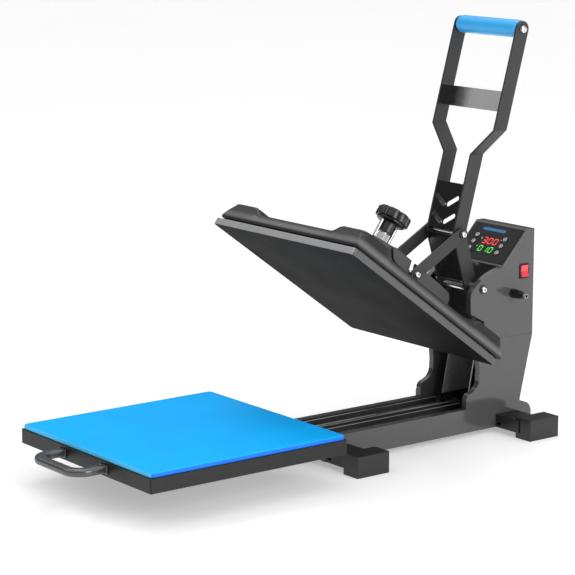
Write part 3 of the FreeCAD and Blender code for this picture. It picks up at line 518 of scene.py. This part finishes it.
# dimpled floors with painted shade in the dimples, and lips with a painted highlight, on the rails
for side in ("right", "left"):
    for name in ("slide_outer_", "slide_middle_"):
        rail = rounded(name + side, 0.3)
        floor_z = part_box(name + side)[0].z + RAIL_FLOOR
        rail.data.materials.append(DIMPLED)
        rail.data.materials.append(LIP_PAINTED_HIGHLIGHT)
        faces_by(rail, lambda c, n: 0 if n.z < 0.9 else 1 if c.z < floor_z else 2)
    rounded("slide_inner_" + side, 0.3)

gland = rounded("cable_gland", 0.4)
gland.data.materials.append(LIGHT_METAL_AND_HIGHLIGHT)
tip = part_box("cable_gland")[1].x - GLAND_TIP
faces_by(gland, lambda c, n: 1 if c.x > tip else 0)

# a coated heat face; painted shade on the left and right edges; bare metal elsewhere, its light grey on the front
# edge partly a painted highlight
plate = rounded("heat_plate", 1.3)
plate.data.materials.append(LIGHT_METAL_AND_HIGHLIGHT)
plate.data.materials.append(EDGE_PAINTED_SHADE)
faces_by(plate, lambda c, n: 0 if n.dot(platen_up) < -0.9 else 2 if abs(n.x) > 0.7 else 1)


# ---------------------------------------------------------------- moulded cover of the upper platen
VALLEY = 38.0 * MM                      # height of the valley above the heat face
LOBE_SIDE = (96.0 * MM, 118.0 * MM)     # the lobes rise between these, from the middle line
FRONT_LOBE = (70.0 * MM, 88.0 * MM)     # the front lobes fall between these, from the plate's front
REAR_LOBE = (308.0 * MM, 318.0 * MM)    # the rear lobes rise between these
REAR_EDGE = 33.0 * MM                   # top of the rear wall above the heat face
REAR_SLOPE = 1.12                       # rise of the slope above it for each metre forwards
WALL_SLOPE = 8.0 * MM                   # the walls lean in by this
WALL_BOW = 1.3                          # the lean grows with this power of the height
WALL_FOOT = 4.0 * MM                    # height of the rolled-in foot of the walls
COVER_EDGE = 4.5 * MM                   # rounding between the walls and the top
CORNER_LOW, CORNER_HIGH = 6.0 * MM, 12.0 * MM   # corner radius at the foot and at the top
CORNER_LEAST = 4.0 * MM                 # and of the innermost rings
RING_STEP = 6.0 * MM                    # the rings on the top are this far apart
COVER_MIDDLE = 180.0 * MM               # the skin closes this far in from the walls
BAND_TALL = 30.0 * MM                   # height that the painted highlight band is laid over


def smooth(value, start, end):
    """A soft step from 0 to 1 between two values."""
    share = min(1.0, max(0.0, (value - start) / (end - start)))
    return share * share * (3.0 - 2.0 * share)


def cover_height(x, y):
    """Height of the cover's skin: a cross-shaped valley between four raised corner lobes."""
    valley = plate_low.z + VALLEY
    lobe = cover_high.z - valley
    across = smooth(abs(x), *LOBE_SIDE)
    along = y - plate_low.y
    front = 1.0 - smooth(along, *FRONT_LOBE)
    rear = smooth(along, *REAR_LOBE)
    slope = plate_low.z + REAR_EDGE + REAR_SLOPE * (cover_high.y - y)
    return min(valley + lobe * across * max(front, rear), slope)


def cover_ring(inset, bend, height):
    """One ring of the cover's skin, set in from its walls."""
    return rectangle(cover_low.x + inset, cover_high.x - inset, cover_low.y + inset, cover_high.y - inset,
                     bend, height, side=44, corner=8)


def cover_rings():
    """The skin from inside its foot, up the leaning walls, over the edge and in to the middle."""
    foot = cover_low.z
    rings = []
    for inset, rise in ((6.0, 3.0), (5.0, 0.0), (2.2, 0.0), (0.9, 0.8), (0.2, 2.2)):
        rings.append(cover_ring(inset * MM, CORNER_LOW, foot + rise * MM))
    rings.append(cover_ring(0.0, CORNER_LOW, foot + WALL_FOOT))
    for share in (0.25, 0.5, 0.75, 1.0):
        rings.append(cover_ring(WALL_SLOPE * share ** WALL_BOW,
                                CORNER_LOW + (CORNER_HIGH - CORNER_LOW) * share,
                                lambda x, y, s=share: foot + WALL_FOOT
                                + (cover_height(x, y) - COVER_EDGE - foot - WALL_FOOT) * s))
    for k in range(1, 6):
        turn = math.pi / 2.0 * k / 5.0
        rings.append(cover_ring(WALL_SLOPE + COVER_EDGE * (1.0 - math.cos(turn)), CORNER_HIGH,
                                lambda x, y, t=turn: cover_height(x, y) - COVER_EDGE * (1.0 - math.sin(t))))
    inset = WALL_SLOPE + COVER_EDGE
    while inset < COVER_MIDDLE:
        inset += RING_STEP
        bend = max(CORNER_HIGH - (inset - WALL_SLOPE - COVER_EDGE), CORNER_LEAST)
        rings.append(cover_ring(min(inset, COVER_MIDDLE), bend, cover_height))
    return rings


def cover_painted_highlight(name, dark, light):
    """The cover's finish with a painted highlight: lighter in a band along the foot of its walls, dark above."""
    material, tree, principled, place = shader(name)
    foot = (swing @ Vector((0.0, 0.0, cover_low.z))).dot(platen_up)
    height = tree.nodes.new("ShaderNodeVectorMath")
    height.operation = "DOT_PRODUCT"
    height.inputs[1].default_value = platen_up
    tree.links.new(place, height.inputs[0])
    share = tree.nodes.new("ShaderNodeMapRange")
    share.inputs["From Min"].default_value = foot
    share.inputs["From Max"].default_value = foot + BAND_TALL
    tree.links.new(height.outputs["Value"], share.inputs["Value"])
    colour = ramp(tree, share.outputs["Result"], [(0.0, dark), (0.10, dark), (0.22, light), (0.34, light),
                                                  (0.62, dark), (1.0, dark)])
    tree.links.new(colour, principled.inputs["Base Color"])
    tree.links.new(spread(tree, noise(tree, place, 60.0), 0.26, 0.34), principled.inputs["Roughness"])
    principled.inputs["Specular IOR Level"].default_value = 0.2
    bump(tree, principled, noise(tree, place, 2000.0), 0.12, 0.00004)
    return material


# the cover's walls carry a painted highlight band along their foot
COVER_PAINTED_HIGHLIGHT = cover_painted_highlight("cover_satin_painted_highlight", (0.030, 0.030, 0.031), (0.125, 0.125, 0.127))
cover = lofted("platen_cover_moulded", cover_rings(), [COVER_PAINTED_HIGHLIGHT], close_start=False, matrix=swing,
               sharp=60.0)
settle(cover, "platen_cover")


# ---------------------------------------------------------------- insulation board
LAYERS = 4
LAYER_TAPER = 2.4 * MM      # each layer is this much smaller all round than the one below


def board_rings():
    """Pressed layers of fibre board with soft edges and narrow seams between them."""
    low, high = level_box("insulation")
    tall = (high.z - low.z) / LAYERS

    def ring(inset, bend, z):
        return rectangle(low.x + inset, high.x - inset, low.y + inset, high.y - inset, bend, z,
                         side=30, corner=7)

    rings = []
    for layer in range(LAYERS):
        for share, inset in ((0.0, 1.6), (0.06, 0.5), (0.2, 0.0), (0.8, 0.0), (0.94, 0.5), (1.0, 1.6)):
            if share == 0.0 and layer:
                continue
            rings.append(ring(inset * MM + LAYER_TAPER * (layer + share), 14.0 * MM,
                              low.z + (layer + share) * tall))
    for inset, sink in ((18.0, 0.0), (24.0, 0.6), (30.0, 0.0), (90.0, 0.3), (160.0, 0.0)):
        rings.append(ring(inset * MM, 10.0 * MM, high.z - sink * MM))
    return rings


insulation = lofted("insulation_board", board_rings(), [PAINT["insulation"]], matrix=swing, sharp=50.0)
settle(insulation, "insulation")


# ---------------------------------------------------------------- silicone pad and grip
PAD_EDGE = ((1.4, 0.0), (0.4, 0.5), (0.0, 1.6), (0.0, 5.2), (0.35, 6.7), (1.2, 7.6), (2.6, 7.97),
            (6.0, 8.0), (30.0, 8.0), (80.0, 8.0), (150.0, 8.0))     # mm in from the sides, mm up
PAD_TALL = 8.0
SLEEVE_END = ((9.0, 0.0), (5.0, 0.0), (2.6, 0.5), (1.0, 1.8), (0.25, 3.6), (0.0, 6.0),
              (0.0, 30.0))              # mm below the grip's surface, mm from its end


def pad_rings():
    """The pad's sheet with a soft rounded edge, from its underside to the middle of its top."""
    low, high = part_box("silicone_pad")
    rings = []
    for inset, height in PAD_EDGE:
        i = inset * MM
        rings.append(rectangle(low.x + i, high.x - i, low.y + i, high.y - i, max(7.0 - inset, 3.0) * MM,
                               low.z + height / PAD_TALL * (high.z - low.z), side=16, corner=6))
    return rings


# painted shade: a deeper blue on the pad's left and right edges; painted light: a lighter one on its front edge
pad = lofted("silicone_pad_moulded", pad_rings(), [PAINT["pad"]], sharp=50.0)
pad.data.materials.append(PAD_SIDE_PAINTED_SHADE)
pad.data.materials.append(PAD_FRONT_PAINTED_LIGHT)
faces_by(pad, lambda c, n: 1 if abs(n.x) > 0.75 else 2 if n.y < -0.6 else 0)
settle(pad, "silicone_pad")

sleeve_low, sleeve_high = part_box("grip_sleeve")
sleeve_half = (sleeve_high.x - sleeve_low.x) / 2.0
sleeve_radius = (sleeve_high.z - sleeve_low.z) / 2.0
sleeve_profile = [(sleeve_radius - drop * MM, reach * MM - sleeve_half) for drop, reach in SLEEVE_END]
sleeve_profile += [(r, -h) for r, h in sleeve_profile[::-1]]
along_x = Matrix.Translation(centre("grip_sleeve")) @ Matrix.Rotation(math.pi / 2.0, 4, "Y")
sleeve = turned("grip_sleeve_moulded", sleeve_profile, [PAINT["grip"]], along_x, 64)
settle(sleeve, "grip_sleeve")


# ---------------------------------------------------------------- pressure knob
LOBES = 8
RIM_START = 26.0 * MM       # the lobes are cut outside this radius
RIM_TALL = 17.5 * MM        # height of the knob's rim
CUT_TALL = 18.0 * MM        # the grooves reach this far down from the knob's top
GROOVE_DEEP = 0.15          # depth of the grooves between the lobes, as a share of the radius
GROOVE_SHARP = 0.42         # the lower, the narrower the grooves

knob_low, knob_high = level_box("pressure_knob")
knob_place = swing @ Matrix.Translation(Vector((0.0, (knob_low.y + knob_high.y) / 2.0, knob_low.z)))
knob_radius = (knob_high.x - knob_low.x) / 2.0
knob_tall = knob_high.z - knob_low.z


def lobed(angle, radius, height):
    """Round lobes with narrow grooves between them, on the rim only."""
    if radius < RIM_START or height < knob_tall - CUT_TALL:
        return radius
    groove = 1.0 - abs(math.cos(LOBES / 2.0 * angle)) ** GROOVE_SHARP
    return radius * (1.0 - GROOVE_DEEP * groove)


def knob_profile():
    """Hub, skirt, rim and the shallow dish in the top."""
    top = knob_tall
    rim = top - RIM_TALL
    r = knob_radius
    hub = [(6.5 * MM, 0.0), (11.6 * MM, 0.0), (12.5 * MM, 1.0 * MM), (13.4 * MM, rim - 5.0 * MM)]
    skirt = [(15.0 * MM, rim - 4.0 * MM), (24.0 * MM, rim - 3.9 * MM), (25.5 * MM, rim - 3.0 * MM),
             (25.7 * MM, rim - 0.6 * MM), (25.9 * MM, rim - 0.1 * MM)]
    outside = [(r - 1.6 * MM, rim), (r - 0.3 * MM, rim + 0.7 * MM), (r, rim + 2.2 * MM),
               (r, top - 2.6 * MM), (r - 0.5 * MM, top - 1.3 * MM), (r - 1.8 * MM, top - 0.6 * MM)]
    dish = [(20.0 * MM, top - 0.2 * MM), (12.0 * MM, top), (11.0 * MM, top - 1.0 * MM),
            (2.0 * MM, top - 1.0 * MM)]
    return hub + skirt + outside + dish


knob = turned("pressure_knob_moulded", knob_profile(), [PAINT["black_plastic"]], knob_place, 160,
              shape=lobed, sharp=35.0)
settle(knob, "pressure_knob")


# ---------------------------------------------------------------- control panel
inward = Vector(joints["button_1_press"]["axis"])
out = -inward
upward = out.cross(X_AXIS)
window = centre("display_window")
panel_turn = Matrix((X_AXIS, upward, out)).transposed().to_4x4()
PRINT_THICK = 0.12 * MM     # thickness of printed marks
MARK_THICK = 0.20 * MM      # of the marks beside the digits
DIGIT_THICK = 0.25 * MM     # and of the lit digits
DIGIT_LEAN = 0.12           # the digits lean to the right by this share of their height
SEGMENT_GAP = 0.15          # a segment stops short at each end by this share of its thickness
DISPLAY_PROUD = 0.05 * MM   # the digits stand this far off the display window
CAP_PROUD = 0.01 * MM       # and the marks this far off the buttons' caps
RING_INNER, RING_OUTER = 3.0 * MM, 4.0 * MM


def on_panel(node, proud):
    """A frame just off the middle of a node's outer face: X across, Y up the panel, Z out."""
    points = [v.co for v in nodes[node].data.vertices]
    face = max(p.dot(out) for p in points)
    middle = centre(node)
    return Matrix.Translation(middle + out * (face + proud - middle.dot(out))) @ panel_turn


def plates(name, outlines, height, materials, matrix):
    """Flat shapes with a little thickness, given as lists of (x, y)."""
    bm = bmesh.new()
    for outline in outlines:
        low = [bm.verts.new((x, y, 0.0)) for x, y in outline]
        high = [bm.verts.new((x, y, height)) for x, y in outline]
        bm.faces.new(high)
        bm.faces.new(low[::-1])
        for i in range(len(outline)):
            j = (i + 1) % len(outline)
            bm.faces.new((low[i], low[j], high[j], high[i]))
    mesh = bpy.data.meshes.new(name)
    bm.to_mesh(mesh)
    bm.free()
    mesh.transform(matrix)
    return add(name, mesh, materials)


SEGMENTS = {"0": "abcdef", "1": "bc", "3": "abcdg"}


def digit_outlines(text, x, y, wide, tall, pitch, thick):
    """The lit segments of a row of seven-segment digits, leaning a little to the right."""
    bars = {"a": (0.5, 1.0, 0), "g": (0.5, 0.5, 0), "d": (0.5, 0.0, 0), "f": (0.0, 0.75, 1),
            "b": (1.0, 0.75, 1), "e": (0.0, 0.25, 1), "c": (1.0, 0.25, 1)}
    outlines = []
    for index, digit in enumerate(text):
        start = x + pitch * (index - (len(text) - 1) / 2.0) - wide / 2.0
        for key in SEGMENTS[digit]:
            u, v, upright = bars[key]
            cu, cv = start + u * wide, y + (v - 0.5) * tall
            half = (tall / 2.0 if upright else wide) / 2.0 - thick * SEGMENT_GAP
            t = thick / 2.0
            shape = [(-half, 0.0), (-half + t, -t), (half - t, -t),
                     (half, 0.0), (half - t, t), (-half + t, t)]
            if upright:
                shape = [(-b, a) for a, b in shape]
            outlines.append([(cu + a + DIGIT_LEAN * (cv + b - y), cv + b) for a, b in shape])
    return outlines


def disc(x, y, radius):
    """The outline of a round mark."""
    return [(x + a, y + b) for a, b in circle(radius, 20)]


display = on_panel("display_window", DISPLAY_PROUD)
red = digit_outlines("300", x=1.0 * MM, y=7.8 * MM, wide=8.4 * MM, tall=11.6 * MM, pitch=13.4 * MM,
                     thick=1.7 * MM)
trim(plates("digits_upper", red, DIGIT_THICK, [RED_GLOW], display), "display_window")
green = digit_outlines("010", x=1.0 * MM, y=-9.8 * MM, wide=8.0 * MM, tall=10.8 * MM, pitch=13.0 * MM,
                       thick=1.7 * MM)
trim(plates("digits_lower", green, DIGIT_THICK, [GREEN_GLOW], display), "display_window")
# two round marks beside the digits, a dash and a small triangle
marks = [disc(25.2 * MM, 13.5 * MM, 1.0 * MM), disc(-24.0 * MM, 12.6 * MM, 0.9 * MM),
         [(-24.5 * MM, 10.0 * MM), (-20.0 * MM, 10.0 * MM),
          (-20.0 * MM, 11.2 * MM), (-24.5 * MM, 11.2 * MM)],
         [(-24.5 * MM, -5.0 * MM), (-21.5 * MM, -5.0 * MM), (-23.0 * MM, -8.0 * MM)]]
trim(plates("display_marks", marks, MARK_THICK, [RING_WHITE], display), "display_window")


def ring_outline(inner, outer):
    """The rings of points of a thin printed ring with softened edges."""
    edge, tall = 0.1 * MM, 0.2 * MM
    return [[(x, y, z) for x, y in circle(radius, 40)]
            for radius, z in ((inner, 0.0), (inner + edge, tall), (outer - edge, tall), (outer, 0.0))]


def button_symbols(index):
    """Plain marks printed on the caps: a triangle up, a triangle down, a dot."""
    if index % 3 == 0:
        return [[(-1.6 * MM, -1.0 * MM), (1.6 * MM, -1.0 * MM), (0.0, 1.6 * MM)]]
    if index % 3 == 1:
        return [[(-1.6 * MM, 1.0 * MM), (0.0, -1.6 * MM), (1.6 * MM, 1.0 * MM)]]
    return [disc(0.0, 0.0, 1.4 * MM)]


for index in range(1, 7):
    node = "button_%d" % index
    rounded(node, 0.4)
    place = on_panel(node, CAP_PROUD)
    trim(lofted(node + "_ring", ring_outline(RING_INNER, RING_OUTER), [RING_WHITE], close_start=False,
                close_end=False, matrix=place, sharp=30.0), node)
    trim(plates(node + "_mark", button_symbols(index), PRINT_THICK, [RING_WHITE], place), node)

# a plain stripe near the panel's upper edge, with Y measured up from the panel's lower edge
stripe = rectangle(-34.0 * MM, 24.0 * MM, 62.0 * MM, 68.0 * MM, 2.9 * MM, 0.0, side=8, corner=6)
fascia = [v.co for v in nodes["control_fascia"].data.vertices]
panel_face = max(p.dot(out) for p in fascia)
panel_low = min(p.dot(upward) for p in fascia)
panel_origin = window - upward * (window.dot(upward) - panel_low)
panel_place = Matrix.Translation(panel_origin + out * (panel_face - panel_origin.dot(out))) @ panel_turn
trim(plates("panel_stripe", [[(x, y) for x, y, z in stripe]], PRINT_THICK, [PRINT_BLUE], panel_place),
     "control_fascia")


# ---------------------------------------------------------------- small screws
SCREW_RADIUS = 3.2 * MM
SCREW_SUNK = 0.2 * MM       # a head's foot stands this far inside the sheet
SCREW_IN_X, SCREW_IN_Z = 7.0 * MM, 8.0 * MM     # from the cover's edges


def screw_head(name, place, direction, node):
    """A domed screw head with a small round recess, standing on a face."""
    matrix = Matrix.Translation(place) @ direction.to_track_quat("Z", "Y").to_matrix().to_4x4()
    profile = [(SCREW_RADIUS * share, height * MM) for share, height in
               ((1.0, 0.0), (1.0, 0.5), (0.86, 1.2), (0.5, 1.7), (0.3, 1.75), (0.2, 1.0))]
    trim(turned(name, profile, [PAINT["shaft"]], matrix, 28), node)


rear_low, rear_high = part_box("control_box_rear_cover")
corners = [(x, z) for x in (rear_low.x + SCREW_IN_X, rear_high.x - SCREW_IN_X)
           for z in (rear_low.z + SCREW_IN_Z, rear_high.z - SCREW_IN_Z)]
for count, (x, z) in enumerate(corners, 1):
    screw_head("rear_screw_%d" % count, Vector((x, rear_high.y - SCREW_SUNK, z)), Y_AXIS,
               "control_box_rear_cover")


# ---------------------------------------------------------------- studio
FLOOR_REACH = 60.0                                 # half the side of the floor, in metres
FLOOR_EMISSION = 0.37
SKY_DARK_BELOW, SKY_BRIGHT_ABOVE = 0.30, 0.75      # sines of the elevation
SKY_LOW, SKY_HIGH = 0.10, 1.16                     # strengths
LENS, SENSOR = 140.13, 36.0                        # mm
CAMERA_PLACE = (2.9, -2.2265, 1.0166)
CAMERA_AZIMUTH = 52.68                             # degrees the camera looks to the left of +Y
CAMERA_DOWN = 11.12                                # degrees the camera looks down

floor_mesh = bpy.data.meshes.new("floor")
floor_corners = [(x * FLOOR_REACH, y * FLOOR_REACH, 0.0) for x, y in ((-1, -1), (1, -1), (1, 1), (-1, 1))]
floor_mesh.from_pydata(floor_corners, [], [(0, 1, 2, 3)])
floor_paint, floor_tree, floor_shader, floor_place = shader("studio_floor")
floor_shade = ramp(floor_tree, noise(floor_tree, floor_place, 1.5),
                   [(NOISE_LOW, (0.72, 0.72, 0.73)), (NOISE_HIGH, (0.74, 0.74, 0.74))])
floor_tree.links.new(floor_shade, floor_shader.inputs["Base Color"])
floor_shader.inputs["Roughness"].default_value = 0.35
floor_shader.inputs["Specular IOR Level"].default_value = 0.2
floor_shader.inputs["Emission Color"].default_value = (*WHITE, 1.0)
floor_shader.inputs["Emission Strength"].default_value = FLOOR_EMISSION
floor = add("floor", floor_mesh, [floor_paint])

world = bpy.data.worlds.new("studio")
bpy.context.scene.world = world
world.use_nodes = True
sky = world.node_tree
sky_place = sky.nodes.new("ShaderNodeTexCoord")
sky_axes = sky.nodes.new("ShaderNodeSeparateXYZ")
sky.links.new(sky_place.outputs["Generated"], sky_axes.inputs["Vector"])
sky_level = sky.nodes.new("ShaderNodeMapRange")
sky_level.interpolation_type = "SMOOTHSTEP"
sky_level.inputs["From Min"].default_value = SKY_DARK_BELOW
sky_level.inputs["From Max"].default_value = SKY_BRIGHT_ABOVE
sky_level.inputs["To Min"].default_value = SKY_LOW
sky_level.inputs["To Max"].default_value = SKY_HIGH
sky.links.new(sky_axes.outputs["Z"], sky_level.inputs["Value"])
sky.links.new(sky_level.outputs["Result"], sky.nodes["Background"].inputs["Strength"])
sky.nodes["Background"].inputs["Color"].default_value = (*WHITE, 1.0)
bpy.context.scene.view_settings.view_transform = "Standard"


def lamp(name, kind, place, target, energy, size):
    """A lamp aimed at a target; size is metres for an area lamp, degrees for a sun."""
    data = bpy.data.lights.new(name, kind)
    data.energy = energy
    if kind == "AREA":
        data.shape = "SQUARE"
        data.size = size
    else:
        data.angle = math.radians(size)
    lamp_object = bpy.data.objects.new(name, data)
    bpy.context.scene.collection.objects.link(lamp_object)
    lamp_object.location = place
    aim = Vector(target) - Vector(place)
    lamp_object.rotation_mode = "QUATERNION"
    lamp_object.rotation_quaternion = aim.to_track_quat("-Z", "Y")


lamp("key", "SUN", (-1.6, 0.9, 3.0), (0.0, 0.0, 0.2), 0.6, 20.0)
lamp("side", "AREA", (3.4, 0.5, 1.3), (0.0, 0.1, 0.3), 85.0, 2.0)
lamp("front", "AREA", (-1.2, -2.6, 1.6), (0.0, 0.0, 0.3), 6.0, 1.2)

camera_data = bpy.data.cameras.new("camera")
camera_data.sensor_width = SENSOR
camera_data.lens = LENS
camera_data.clip_end = 200.0
camera = bpy.data.objects.new("camera", camera_data)
bpy.context.scene.collection.objects.link(camera)
camera.location = CAMERA_PLACE
azimuth, fall = math.radians(CAMERA_AZIMUTH), math.radians(CAMERA_DOWN)
look = Vector((-math.sin(azimuth) * math.cos(fall), math.cos(azimuth) * math.cos(fall), -math.sin(fall)))
camera.rotation_mode = "QUATERNION"
camera.rotation_quaternion = look.to_track_quat("-Z", "Y")
bpy.context.scene.camera = camera
